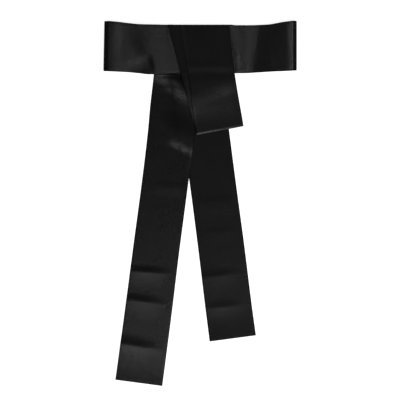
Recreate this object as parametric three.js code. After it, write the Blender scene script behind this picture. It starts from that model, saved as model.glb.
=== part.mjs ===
// A satin sash, tied in a half bow and laid flat on a table with its tails pulled straight.
// Millimetres, +Z up from the table. X runs along the waist, +Y from the tails to the waist.
// It is one long strip of doubled satin, shown as the stretches that lie on each other.
// Until the last lines, y = 0 is the middle line of the waist.

import * as THREE from "three";

const { ExtrudeGeometry, Shape, Vector3 } = THREE;
const { clamp, degToRad, lerp } = THREE.MathUtils;

// Cloth
const CLOTH = 1.0;
const CLEAR = 0.3;
const LAYER = CLOTH + CLEAR;
const TAIL_WIDTH = 80;

// Waist loop, pressed flat, with a rounded fold at each end
const WAIST_SPAN = 333;
const END_FOLD_REACH = 7;
const END_FOLD_RISE = 8.1;
const CREST_X = (WAIST_SPAN - CLOTH) / 2 - END_FOLD_REACH;
const RETURN_LENGTH = 20;
const BACK_INSET = 0.8;
const SEAM_X = 6;
const WAIST_FOLD_FADE = 24;

// Where the sash is tied: undersides of the tails, and middles of the layers over them
const RIGHT_TAIL_LIFT = LAYER;
const LEFT_TAIL_LIFT = 2 * LAYER;
const WAIST_HEIGHT = 5 * LAYER + CLOTH / 2;
const REAR_HEIGHT = 6 * LAYER + CLOTH / 2;
const FRONT_HEIGHT = 7 * LAYER + CLOTH / 2;

// Drop loop of the half bow: it rolls over the waist's top edge and folds at the bottom
const TOP_ROLL_Y = 39.2;
const LEG_LENGTH = 20;
const LOOP_FOLD_LEFT = { x: -5.7, y: -147.9, radius: 3.0 };
const LOOP_FOLD_RIGHT = { x: 74.9, y: -132.2, radius: 1.5 };
const LOOP_RIGHT_BOW = 1.9;
const LOOP_REST_HEIGHT = 4.6;
const FOLD_EASE = 0.55;
const FRONT_TOP = { left: -33.4, right: 49.6 };
const REAR_TOP = { left: -55.8, right: 28.9 };

// Tails come out from under the waist's lower edge and come down to the table below it
const TAIL_DESCENT = { from: 43, to: 66 };
const OVERLAP_LEAD = { from: 16, to: 3 };

// Steps along and lanes across each wall
const LANES = 8;
const FRONT_STEPS = 26;
const ROLL_STEPS = 8;
const RETURN_STEPS = 2;
const LOOP_STEPS = 26;
const LEG_STEPS = 2;
const LEFT_TAIL_STEPS = 92;
const RIGHT_TAIL_STEPS = 78;
const BACK_STEPS = 16;
const BACK_LANES = 2;

// Edges and height of the waist's two front stretches, from the end fold's crest to the knot
const WAIST_LEFT = [
  { x: -CREST_X, top: 48.2, bottom: -38.1, height: 7.6 },
  { x: -145, top: 47.0, bottom: -38.7, height: 7.5 },
  { x: -124, top: 44.5, bottom: -39.8, height: 7.3 },
  { x: -104, top: 42.9, bottom: -41.7, height: 7.3 },
  { x: -83, top: 42.5, bottom: -43.4, height: 7.5 },
  { x: -64, top: 41.9, bottom: -42.6, height: 7.2 },
  { x: -56.5, top: TOP_ROLL_Y, bottom: -42.0, height: WAIST_HEIGHT },
  { x: SEAM_X, top: TOP_ROLL_Y, bottom: -41.6, height: WAIST_HEIGHT },
];
const WAIST_RIGHT = [
  { x: SEAM_X, top: TOP_ROLL_Y, bottom: -41.6, height: WAIST_HEIGHT },
  { x: 50.5, top: TOP_ROLL_Y, bottom: -41.6, height: WAIST_HEIGHT },
  { x: 62, top: 40.9, bottom: -41.5, height: 7.1 },
  { x: 83, top: 40.9, bottom: -41.3, height: 6.9 },
  { x: 104, top: 41.4, bottom: -39.9, height: 6.9 },
  { x: 118, top: 42.2, bottom: -39.0, height: 7.1 },
  { x: 131, top: 44.3, bottom: -38.3, height: 7.3 },
  { x: 145, top: 46.8, bottom: -37.9, height: 7.5 },
  { x: CREST_X, top: 48.7, bottom: -37.1, height: 7.6 },
];

// Middle line and width of each tail by its drop below the waist's middle line
const TAIL_LEFT = [
  { drop: -16, x: -33.6, width: TAIL_WIDTH },
  { drop: 52, x: -40.6, width: TAIL_WIDTH },
  { drop: 145, x: -50.4, width: TAIL_WIDTH },
  { drop: 239, x: -61.9, width: 79.4 },
  { drop: 343, x: -75.7, width: 79.2 },
  { drop: 447, x: -88.9, width: TAIL_WIDTH },
  { drop: 576.8, x: -106.2, width: 81.2 },
];
const TAIL_RIGHT = [
  { drop: -12, x: -10.1, width: 79 },
  { drop: 146, x: 10.1, width: 79 },
  { drop: 239, x: 22.3, width: 78.4 },
  { drop: 343, x: 36.0, width: 79 },
  { drop: 447, x: 48.8, width: 79 },
  { drop: 500, x: 55.9, width: 79.8 },
];

// Height of the loop's layers by the distance from the top roll
const LOOP_FRONT_HEIGHTS = [
  { along: 0, height: FRONT_HEIGHT },
  { along: 78, height: FRONT_HEIGHT },
  { along: 97, height: 8.6 },
  { along: 112, height: 9.1 },
  { along: 150, height: 8.2 },
  { along: 190, height: 7.6 },
];
const LOOP_REAR_HEIGHTS = [
  { along: 0, height: REAR_HEIGHT },
  { along: 83, height: REAR_HEIGHT },
  { along: 104, height: 6.0 },
  { along: 126, height: LOOP_REST_HEIGHT },
  { along: 190, height: LOOP_REST_HEIGHT },
];

// Soft folds: the crest's middle, the turn of its line in degrees, its half length, how far the
// cloth rises to it and falls from it on the side that the turned -Y axis points to, and its height
const WAIST_LEFT_FOLDS = [
  { x: -99, y: 0, turn: -64.6, long: 74, rise: 22, fall: 50, height: -3.4 },
];
const WAIST_RIGHT_FOLDS = [
  { x: 104, y: 0, turn: 82, long: 90, rise: 42, fall: 44, height: -3.4 },
];
const TAIL_LEFT_FOLDS = [
  { x: -49, y: -57, turn: -33, long: 36, rise: 14, fall: 20, height: 3.0 },
  { x: -29, y: -164, turn: -26, long: 42, rise: 60, fall: 17, height: 3.6 },
  { x: -63, y: -239, turn: -3, long: 44, rise: 12, fall: 18, height: 0.8 },
  { x: -81, y: -384, turn: -5, long: 48, rise: 10, fall: 30, height: 1.8 },
  { x: -90, y: -441, turn: -11, long: 46, rise: 10, fall: 26, height: 2.0 },
  { x: -101, y: -519, turn: -12, long: 48, rise: 10, fall: 34, height: 2.6 },
];
const TAIL_RIGHT_FOLDS = [
  { x: 27, y: -271, turn: 6, long: 42, rise: 14, fall: 22, height: 0.9 },
  { x: 38, y: -327, turn: 6, long: 42, rise: 12, fall: 20, height: 0.8 },
  { x: 41, y: -392, turn: 8, long: 46, rise: 10, fall: 26, height: 1.9 },
  { x: 48, y: -446, turn: 6, long: 46, rise: 10, fall: 26, height: 1.6 },
];

// Inside of the knot, where the two ends cross under the loop
const CROSSING = { x: -3, y: -11, width: 78, depth: 42, corner: 16, bevel: 0.7, spread: 4, height: 2.3 };
const CROSSING_BASE = 3 * LAYER;

// Black satin
const SATIN = { color: 0x1c1c1d, roughness: 0.38, metalness: 0 };

// Ease from 0 to 1
function smooth(share) {
  const q = clamp(share, 0, 1);
  return q * q * (3 - 2 * q);
}

// Rounded hump that is 1 in the middle and 0 from -1 and 1 outwards
function hump(share) {
  const inside = Math.max(0, 1 - share * share);
  return inside * inside;
}

// A smooth reading of a table's other columns at any value of its first one, which stays between
// the values of the two rows beside it
function track(rows, key) {
  const columns = Object.keys(rows[0]).filter((name) => name !== key);
  const last = rows.length - 1;
  const pitch = (i, name) => (rows[i + 1][name] - rows[i][name]) / (rows[i + 1][key] - rows[i][key]);
  const slope = (i, name) => {
    const before = pitch(Math.max(i - 1, 0), name);
    const after = pitch(Math.min(i, last - 1), name);
    return before * after > 0 ? (2 * before * after) / (before + after) : 0;
  };
  return (value) => {
    const at = clamp(value, rows[0][key], rows[last][key]);
    const above = rows.findIndex((row) => row[key] >= at);
    const i = Math.max(above - 1, 0);
    const span = rows[i + 1][key] - rows[i][key];
    const t = (at - rows[i][key]) / span;
    const read = (name) => {
      const ends = lerp(rows[i][name], rows[i + 1][name], smooth(t));
      const leave = slope(i, name) * t * (1 - t) * (1 - t);
      const arrive = slope(i + 1, name) * t * t * (t - 1);
      return ends + span * (leave + arrive);
    };
    return Object.fromEntries(columns.map((name) => [name, read(name)]));
  };
}

// Height that a table of folds adds at a point
function foldHeight(rows, x, y) {
  let height = 0;
  for (const row of rows) {
    const turn = degToRad(row.turn);
    const along = (x - row.x) * Math.cos(turn) + (y - row.y) * Math.sin(turn);
    const across = (x - row.x) * Math.sin(turn) - (y - row.y) * Math.cos(turn);
    const reach = across < 0 ? row.rise : row.fall;
    height += row.height * hump(along / row.long) * hump(across / reach);
  }
  return height;
}

// Closed wall of cloth around a middle surface that is given by stations along and lanes across.
// Its outer side is the one that (along x across) points to.
function wall(stations, lanes, middle) {
  const columns = lanes + 1;
  const last = stations.length - 1;
  const grid = stations.map((station) => {
    const row = [];
    for (let j = 0; j <= lanes; j += 1) {
      row.push(middle(station, j / lanes));
    }
    return row;
  });
  const count = stations.length * columns;
  const positions = new Float32Array(count * 6);
  for (let i = 0; i <= last; i += 1) {
    for (let j = 0; j <= lanes; j += 1) {
      const along = grid[Math.min(i + 1, last)][j].clone().sub(grid[Math.max(i - 1, 0)][j]);
      const across = grid[i][Math.min(j + 1, lanes)].clone().sub(grid[i][Math.max(j - 1, 0)]);
      const offset = along.cross(across).setLength(CLOTH / 2);
      const at = i * columns + j;
      grid[i][j].clone().add(offset).toArray(positions, at * 3);
      grid[i][j].clone().sub(offset).toArray(positions, (count + at) * 3);
    }
  }
  const index = [];
  const quad = (a, b, c, d) => index.push(a, b, c, a, c, d);
  for (let i = 0; i < last; i += 1) {
    for (let j = 0; j < lanes; j += 1) {
      const a = i * columns + j;
      const b = a + columns;
      quad(a, b, b + 1, a + 1);
      quad(count + a, count + a + 1, count + b + 1, count + b);
    }
    const near = i * columns;
    const far = near + lanes;
    quad(near, count + near, count + near + columns, near + columns);
    quad(far, far + columns, count + far + columns, count + far);
  }
  for (let j = 0; j < lanes; j += 1) {
    const start = j;
    const end = last * columns + j;
    quad(start, start + 1, count + start + 1, count + start);
    quad(end, count + end, count + end + 1, end + 1);
  }
  const geometry = new THREE.BufferGeometry();
  geometry.setAttribute("position", new THREE.BufferAttribute(positions, 3));
  geometry.setIndex(index);
  return geometry;
}

// Even steps from one value to another, without the first one if skip is 1
function steps(from, to, count, skip = 0) {
  const found = [];
  for (let i = skip; i <= count; i += 1) {
    found.push(lerp(from, to, i / count));
  }
  return found;
}

const leftEdges = track(WAIST_LEFT, "x");
const rightEdges = track(WAIST_RIGHT, "x");
const leftTailLine = track(TAIL_LEFT, "drop");
const rightTailLine = track(TAIL_RIGHT, "drop");

// Front stretch of the waist from the knot to one side, round its end fold and a little way back
function waistFront(side, edges, folds) {
  const crest = side * CREST_X;
  const start = SEAM_X + side * (CLEAR / 2);
  const halfRise = (END_FOLD_RISE - CLOTH) / 2;
  const stations = [
    ...steps(start, crest, FRONT_STEPS).map((x) => ({ x, turn: 0 })),
    ...steps(0, Math.PI, ROLL_STEPS, 1).map((turn) => ({ x: crest, turn })),
    ...steps(crest, crest - side * RETURN_LENGTH, RETURN_STEPS, 1).map((x) => ({ x, turn: Math.PI })),
  ];
  return wall(stations, LANES, ({ x, turn }, across) => {
    const { top, bottom, height } = edges(x);
    const inset = (BACK_INSET * turn) / Math.PI;
    const y = lerp(bottom + inset, top - inset, side < 0 ? 1 - across : across);
    if (turn === 0) {
      const fade = smooth((CREST_X - Math.abs(x)) / WAIST_FOLD_FADE);
      return new Vector3(x, y, height + fade * foldHeight(folds, x, y));
    }
    const reach = side * END_FOLD_REACH * Math.sin(turn);
    return new Vector3(x + reach, y, CLOTH / 2 + halfRise * (1 + Math.cos(turn)));
  });
}

// Back stretch of the waist, flat on the table between the two end folds
function waistBack() {
  const end = CREST_X - RETURN_LENGTH - CLEAR;
  return wall(steps(-end, end, BACK_STEPS), BACK_LANES, (x, across) => {
    const { top, bottom } = x < SEAM_X ? leftEdges(x) : rightEdges(x);
    return new Vector3(x, lerp(bottom + BACK_INSET, top - BACK_INSET, across), CLOTH / 2);
  });
}

// A tail from inside the waist loop to its cut end
function tail(rows, line, count, underside, folds) {
  const first = rows[0].drop;
  const end = rows[rows.length - 1].drop;
  return wall(steps(first, end, count), LANES, (drop, across) => {
    const { x, width } = line(drop);
    const near = clamp(drop, first + 1, end - 1);
    const lean = Math.atan2(line(near + 1).x - line(near - 1).x, 2);
    const out = (across - 0.5) * width;
    const place = new Vector3(x + out * Math.cos(lean), -drop + out * Math.sin(lean), 0);
    place.z = underside(place) + CLOTH / 2 + foldHeight(folds, place.x, place.y);
    return place;
  });
}

// Share of a tail's lift that is left at a height y on its way down from the waist
function liftLeft(y) {
  return 1 - smooth((-y - TAIL_DESCENT.from) / (TAIL_DESCENT.to - TAIL_DESCENT.from));
}

// The right tail comes straight down to the table
function rightTailUnderside(place) {
  return RIGHT_TAIL_LIFT * liftLeft(place.y);
}

// The left tail lies over the right one, and comes down to the table beside it
function leftTailUnderside(place) {
  const { x: middle, width } = rightTailLine(-place.y);
  const outside = middle - width / 2 - place.x;
  const over = 1 - smooth((outside - OVERLAP_LEAD.to) / (OVERLAP_LEAD.from - OVERLAP_LEAD.to));
  return RIGHT_TAIL_LIFT * liftLeft(place.y) + (LEFT_TAIL_LIFT - RIGHT_TAIL_LIFT) * over;
}

// The line that the drop loop's bottom fold turns about, from its left end to its right one
function loopFold(across) {
  const left = new Vector3(LOOP_FOLD_LEFT.x, LOOP_FOLD_LEFT.y, 0);
  const right = new Vector3(LOOP_FOLD_RIGHT.x, LOOP_FOLD_RIGHT.y, 0);
  const radius = lerp(LOOP_FOLD_LEFT.radius, LOOP_FOLD_RIGHT.radius, across);
  const line = right.clone().sub(left).normalize();
  const inward = new Vector3(-line.y, line.x, 0);
  const centre = left.lerp(right, across).addScaledVector(inward, radius + CLOTH / 2);
  return { centre, inward, radius };
}

// One layer of the drop loop from the top roll to the bottom fold, as a point of its middle
function loopLayer(top, heights, along, across) {
  const { centre } = loopFold(across);
  const start = new Vector3(lerp(top.left, top.right, across), TOP_ROLL_Y, 0);
  const length = start.distanceTo(centre);
  const place = start.lerp(centre, along);
  place.x -= LOOP_RIGHT_BOW * across * hump(2 * along - 1);
  place.z = heights(along * length).height;
  return place;
}

// Where a layer rolls over the waist's top edge and goes on behind it
function topRoll(top, radius, turn, behind, across) {
  const lean = (LOOP_FOLD_LEFT.x - FRONT_TOP.left) / (TOP_ROLL_Y - LOOP_FOLD_LEFT.y);
  const x = lerp(top.left, top.right, across) - behind * lean;
  const y = TOP_ROLL_Y - behind + radius * Math.sin(turn);
  return new Vector3(x, y, WAIST_HEIGHT + radius * Math.cos(turn));
}

// Stations of a layer's leg behind the waist and of its top roll
function topStations() {
  return [
    ...steps(LEG_LENGTH, 0, LEG_STEPS).map((behind) => ({ behind, turn: Math.PI })),
    ...steps(Math.PI, 0, ROLL_STEPS, 1).map((turn) => ({ behind: 0, turn })),
  ];
}

// Front layer of the drop loop, with its bottom fold
function loopFront() {
  const heights = track(LOOP_FRONT_HEIGHTS, "along");
  const radius = FRONT_HEIGHT - WAIST_HEIGHT;
  const stations = [
    ...topStations(),
    ...steps(0, 1, LOOP_STEPS, 1).map((along) => ({ along })),
    ...steps(0, Math.PI, ROLL_STEPS, 1).map((under) => ({ under })),
  ];
  return wall(stations, LANES, ({ behind, turn, along, under }, across) => {
    if (turn !== undefined) {
      return topRoll(FRONT_TOP, radius, turn, behind, across);
    }
    const fold = loopFold(across);
    const axis = LOOP_REST_HEIGHT + fold.radius;
    if (along !== undefined) {
      const place = loopLayer(FRONT_TOP, heights, along, across);
      place.z = lerp(place.z, axis + fold.radius, smooth((along - FOLD_EASE) / (1 - FOLD_EASE)));
      return place;
    }
    const place = fold.centre.addScaledVector(fold.inward, -fold.radius * Math.sin(under));
    place.z = axis + fold.radius * Math.cos(under);
    return place;
  });
}

// Rear layer of the drop loop, from behind the waist to just short of the bottom fold
function loopRear() {
  const heights = track(LOOP_REAR_HEIGHTS, "along");
  const radius = REAR_HEIGHT - WAIST_HEIGHT;
  const length = TOP_ROLL_Y - LOOP_FOLD_LEFT.y;
  const stations = [
    ...topStations(),
    ...steps(0, 1 - CLEAR / length, LOOP_STEPS, 1).map((along) => ({ along })),
  ];
  return wall(stations, LANES, ({ behind, turn, along }, across) => {
    if (turn !== undefined) {
      return topRoll(REAR_TOP, radius, turn, behind, across);
    }
    return loopLayer(REAR_TOP, heights, along, across);
  });
}

// The crossing inside the knot, its hidden layers as one rounded pad
function knotCrossing() {
  const { x, y, width, depth, corner, bevel, spread, height } = CROSSING;
  const outline = new Shape();
  const right = width / 2 - spread;
  const top = depth / 2 - spread;
  outline.moveTo(right, -top + corner);
  outline.lineTo(right, top - corner);
  outline.absarc(right - corner, top - corner, corner, 0, Math.PI / 2);
  outline.lineTo(-right + corner, top);
  outline.absarc(-right + corner, top - corner, corner, Math.PI / 2, Math.PI);
  outline.lineTo(-right, -top + corner);
  outline.absarc(-right + corner, -top + corner, corner, Math.PI, 1.5 * Math.PI);
  outline.lineTo(right - corner, -top);
  outline.absarc(right - corner, -top + corner, corner, 1.5 * Math.PI, 2 * Math.PI);
  const geometry = new ExtrudeGeometry(outline, {
    depth: height - 2 * bevel,
    bevelThickness: bevel,
    bevelSize: spread,
    bevelSegments: 2,
    curveSegments: 5,
  });
  return geometry.translate(x, y, CROSSING_BASE + bevel);
}

const pieces = {
  waist_back: waistBack(),
  waist_left: waistFront(-1, leftEdges, WAIST_LEFT_FOLDS),
  waist_right: waistFront(1, rightEdges, WAIST_RIGHT_FOLDS),
  knot_crossing: knotCrossing(),
  tail_right: tail(TAIL_RIGHT, rightTailLine, RIGHT_TAIL_STEPS, rightTailUnderside, TAIL_RIGHT_FOLDS),
  tail_left: tail(TAIL_LEFT, leftTailLine, LEFT_TAIL_STEPS, leftTailUnderside, TAIL_LEFT_FOLDS),
  loop_rear: loopRear(),
  loop_front: loopFront(),
};

const sash = new THREE.Group();
sash.name = "satin_sash";
for (const [name, geometry] of Object.entries(pieces)) {
  const mesh = new THREE.Mesh(geometry, new THREE.MeshStandardMaterial(SATIN));
  mesh.name = name;
  sash.add(mesh);
}

// The origin is on the table, under the middle of the whole sash
const box = new THREE.Box3().setFromObject(sash);
const middle = box.getCenter(new Vector3());
sash.position.set(-middle.x, -middle.y, -box.min.z);
sash.updateMatrixWorld(true);

export default sash;
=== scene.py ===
"""A black satin sash, tied in a half bow and laid flat on a pale table.

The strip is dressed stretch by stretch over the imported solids: the waist loop, the drop loop of the
half bow, the two tails and the layers hidden in the knot. Sizes are millimetres from the tie's
centre, which is the middle of the waist's front, and become metres where a mesh is made.
"""

import logging
import math
from dataclasses import dataclass, field
from enum import Enum
from typing import NamedTuple, Optional, Sequence, Union

import bpy
import numpy as np
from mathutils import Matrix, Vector


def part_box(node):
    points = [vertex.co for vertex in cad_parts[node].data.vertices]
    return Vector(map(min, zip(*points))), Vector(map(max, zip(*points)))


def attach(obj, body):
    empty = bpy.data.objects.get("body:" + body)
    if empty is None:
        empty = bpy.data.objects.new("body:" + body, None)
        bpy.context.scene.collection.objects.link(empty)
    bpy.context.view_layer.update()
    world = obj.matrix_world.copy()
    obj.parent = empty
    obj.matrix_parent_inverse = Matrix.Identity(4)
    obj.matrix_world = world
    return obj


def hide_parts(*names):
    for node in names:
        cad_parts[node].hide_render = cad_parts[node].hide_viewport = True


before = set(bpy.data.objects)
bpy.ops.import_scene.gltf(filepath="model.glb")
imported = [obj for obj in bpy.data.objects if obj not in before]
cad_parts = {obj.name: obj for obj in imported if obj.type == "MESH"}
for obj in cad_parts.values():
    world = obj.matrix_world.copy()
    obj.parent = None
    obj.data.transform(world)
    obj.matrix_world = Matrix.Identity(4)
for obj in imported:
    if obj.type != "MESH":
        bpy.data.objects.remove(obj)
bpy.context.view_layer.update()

LOG = logging.getLogger("sash")
MM = 0.001
BODY = "root"
CLOTH_UV = "cloth"
EDGE_ATTRIBUTE = "edge_mm"
RUB_ATTRIBUTE = "rub"
NOISE_MIDDLE = 0.5

Array = np.ndarray


class Side(Enum):
    """The side of the knot that a stretch lies on, as the sign of x."""

    LEFT = -1
    RIGHT = 1


class Held(Enum):
    """How a stretch of the sash is held."""

    LAID = "laid"
    FOLDED = "folded"


def smooth(share: Array) -> Array:
    """Ease from 0 to 1.

    Args:
        share: Place on the way, 0 at the start and 1 at the end.

    Returns:
        The eased share, kept within 0 and 1.
    """
    q = np.clip(share, 0.0, 1.0)
    return q * q * (3.0 - 2.0 * q)


def hump(share: Array) -> Array:
    """Rounded hump.

    Args:
        share: Distance from the middle, 1 where the hump ends.

    Returns:
        1 in the middle and 0 from -1 and 1 outwards.
    """
    inside = np.maximum(0.0, 1.0 - np.square(share))
    return inside * inside


def blend(start: Array, end: Array, share: Array) -> Array:
    """Straight blend of two values."""
    return start + (end - start) * share


class EdgeRow(NamedTuple):
    """Top edge, bottom edge and height of the waist's front at a place along it."""

    x: float
    top: float
    bottom: float
    height: float


class TailRow(NamedTuple):
    """Middle line and width of a tail at a drop below the waist's middle."""

    drop: float
    x: float
    width: float


class LineRow(NamedTuple):
    """Place along the waist of a line that crosses it."""

    y: float
    x: float


class HeightRow(NamedTuple):
    """Height at a distance along a layer or across a line."""

    along: float
    height: float


class Track:
    """Smooth reading of a table, which stays between the two rows beside the place.

    Args:
        rows: The table; its first column is the place, in rising order.
    """

    def __init__(self, rows: Sequence[Sequence[float]]) -> None:
        table = np.array(rows, dtype=float)
        self.places = table[:, 0]
        self.values = table[:, 1:]
        pitch = np.diff(self.values, axis=0) / np.diff(self.places)[:, None]
        before = np.vstack([pitch[:1], pitch])
        after = np.vstack([pitch, pitch[-1:]])
        agree = before * after > 0.0
        total = np.where(agree, before + after, 1.0)
        self.slopes = np.where(agree, 2.0 * before * after / total, 0.0)

    def read(self, place: Array) -> list[Array]:
        """Read every other column of the table.

        Args:
            place: Values of the first column, of any shape.

        Returns:
            One array of the same shape for each other column.
        """
        at = np.clip(place, self.places[0], self.places[-1])
        row = np.clip(np.searchsorted(self.places, at) - 1, 0, len(self.places) - 2)
        span = self.places[row + 1] - self.places[row]
        t = (at - self.places[row]) / span
        found = []
        for value, slope in zip(self.values.T, self.slopes.T):
            ends = blend(value[row], value[row + 1], smooth(t))
            leave = slope[row] * t * (1.0 - t) ** 2
            arrive = slope[row + 1] * t * t * (t - 1.0)
            found.append(ends + span * (leave + arrive))
        return found


@dataclass(frozen=True)
class Fold:
    """A soft ridge, or a trough where the height is negative.

    The crest's middle is at x, y and its line is turned by degrees from +X. The cloth rises to it
    over one distance and falls from it, on the side of the turned -Y axis, over another. A crest of
    0 is as broad as the fold; a larger one is the width that a crisp crest is rounded over.
    """

    x: float
    y: float
    turn: float
    long: float
    rise: float
    fall: float
    height: float
    crest: float = 0.0

    def lift(self, x: Array, y: Array) -> Array:
        """Height that the fold adds.

        Args:
            x: Places along the waist.
            y: Places from the tails to the waist.

        Returns:
            The added height, of the same shape.
        """
        turn = math.radians(self.turn)
        along = (x - self.x) * math.cos(turn) + (y - self.y) * math.sin(turn)
        across = (x - self.x) * math.sin(turn) - (y - self.y) * math.cos(turn)
        reach = np.where(across < 0.0, self.rise, self.fall)
        if self.crest > 0.0:
            rounded = np.sqrt(np.square(across) + self.crest**2) - self.crest
            section = np.square(np.clip(1.0 - rounded / reach, 0.0, 1.0))
        else:
            section = hump(across / reach)
        return self.height * hump(along / self.long) * section


@dataclass(frozen=True)
class Wave:
    """A long wave along a bent line that crosses the waist or a tail.

    The line gives a place along x for each y, and the section gives the height by the distance
    along x from the line. The wave may fade out towards the line's first place and its last one.
    """

    line: tuple[LineRow, ...]
    section: tuple[HeightRow, ...]
    fade: float = 0.0
    top_fade: float = 0.0

    def lift(self, x: Array, y: Array) -> Array:
        """Height that the wave adds.

        Args:
            x: Places along the waist.
            y: Places from the tails to the waist.

        Returns:
            The added height, of the same shape.
        """
        height = Track(self.section).read(x - Track(self.line).read(y)[0])[0]
        if self.fade > 0.0:
            height = height * smooth((y - self.line[0].y) / self.fade)
        if self.top_fade > 0.0:
            height = height * smooth((self.line[-1].y - y) / self.top_fade)
        return height


@dataclass(frozen=True)
class Curl:
    """A stretch of edge that turns up, or down where the height is negative, and is rubbed."""

    at: float
    long: float
    reach: float
    height: float
    rub: float = 0.0

    def share(self, along: Array, inside: Array) -> Array:
        """Share of the curl at a place.

        Args:
            along: Distance along the stretch.
            inside: Distance in from the edge.

        Returns:
            1 on the edge in the curl's middle, and 0 where it ends.
        """
        bend = np.square(np.clip(1.0 - inside / self.reach, 0.0, 1.0))
        return bend * hump((along - self.at) / self.long)


Lift = Union[Fold, Wave]


def lifted(rows: Sequence[Lift], x: Array, y: Array) -> Array:
    """Height that a table of folds and waves adds at the given places."""
    return sum((row.lift(x, y) for row in rows), np.zeros_like(x))


def curled(rows: Sequence[Curl], along: Array, inside: Array) -> Array:
    """Height that a table of edge curls adds at the given places."""
    return sum((row.height * row.share(along, inside) for row in rows), np.zeros_like(along))


def rubbed(rows: Sequence[Curl], along: Array, inside: Array) -> Array:
    """How far a table of edge curls is rubbed at the given places, from 0 to 1."""
    return sum((row.rub * row.share(along, inside) for row in rows), np.zeros_like(along))


@dataclass(frozen=True)
class Layers:
    """Heights of the layers where the sash is tied, from the table up."""

    cloth: float = 1.0
    clear: float = 0.3

    @property
    def pitch(self) -> float:
        """From one layer to the next."""
        return self.cloth + self.clear

    def underside(self, count: int) -> float:
        """Underside of the layer with that many layers below it."""
        return count * self.pitch

    def middle(self, count: int) -> float:
        """Middle of the layer with that many layers below it."""
        return count * self.pitch + self.cloth / 2.0


@dataclass(frozen=True)
class Cloth:
    """Doubled satin, seamed along one side, turned and pressed."""

    thickness: float = 0.8
    pressed: float = 0.62
    press_reach: float = 4.0
    step: float = 2.0
    roll_step: float = 0.6
    rim: tuple[float, ...] = (0.0, 0.03, 0.1, 0.24, 0.5, 1.0, 1.9, 3.0)
    ease_height: float = 0.05
    ease_waves: int = 14
    ease_shortest: float = 26.0
    ease_longest: float = 90.0
    ease_usual: float = 60.0
    ease_seed: int = 7

    @property
    def half(self) -> float:
        """Half the thickness away from the edges."""
        return self.thickness / 2.0

    def lanes(self, length: float, step: Optional[float] = None) -> Array:
        """Places across a length, close together towards both ends.

        Args:
            length: The whole length.
            step: Spacing in the middle, or the cloth's own one.

        Returns:
            Rising distances from 0 to the length.
        """
        rim = np.array(self.rim)
        inner = length - 2.0 * rim[-1]
        count = max(2, round(inner / (step or self.step)))
        middle = rim[-1] + inner * np.arange(1, count) / count
        return np.concatenate([rim, middle, length - rim[::-1]])

    def half_thickness(self, inside: Array) -> Array:
        """Half thickness, rounded at the edge and thinner where it is pressed.

        Args:
            inside: Distance in from the nearest edge.

        Returns:
            Half thickness there, 0 on the edge.
        """
        edge = self.half * self.pressed
        round_share = np.clip(inside / edge, 0.0, 1.0)
        rounded = edge * np.sqrt(np.maximum(0.0, 1.0 - np.square(1.0 - round_share)))
        return rounded + (self.half - edge) * smooth(inside / self.press_reach)

    def ease(self, along: Array, across: Array) -> Array:
        """Slight waviness of satin that lies loose.

        Args:
            along: Distance along the strip.
            across: Distance across it.

        Returns:
            Height of the waves, a tenth of a millimetre or so.
        """
        rng = np.random.default_rng(self.ease_seed)
        height = np.zeros(np.broadcast(along, across).shape)
        for _ in range(self.ease_waves):
            length = rng.uniform(self.ease_shortest, self.ease_longest)
            turn = rng.uniform(0.0, math.pi)
            phase = rng.uniform(0.0, 2.0 * math.pi)
            way = along * math.cos(turn) + across * math.sin(turn)
            height += np.cos(2.0 * math.pi * way / length + phase) * length / self.ease_usual
        return self.ease_height * height / math.sqrt(self.ease_waves)


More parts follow.
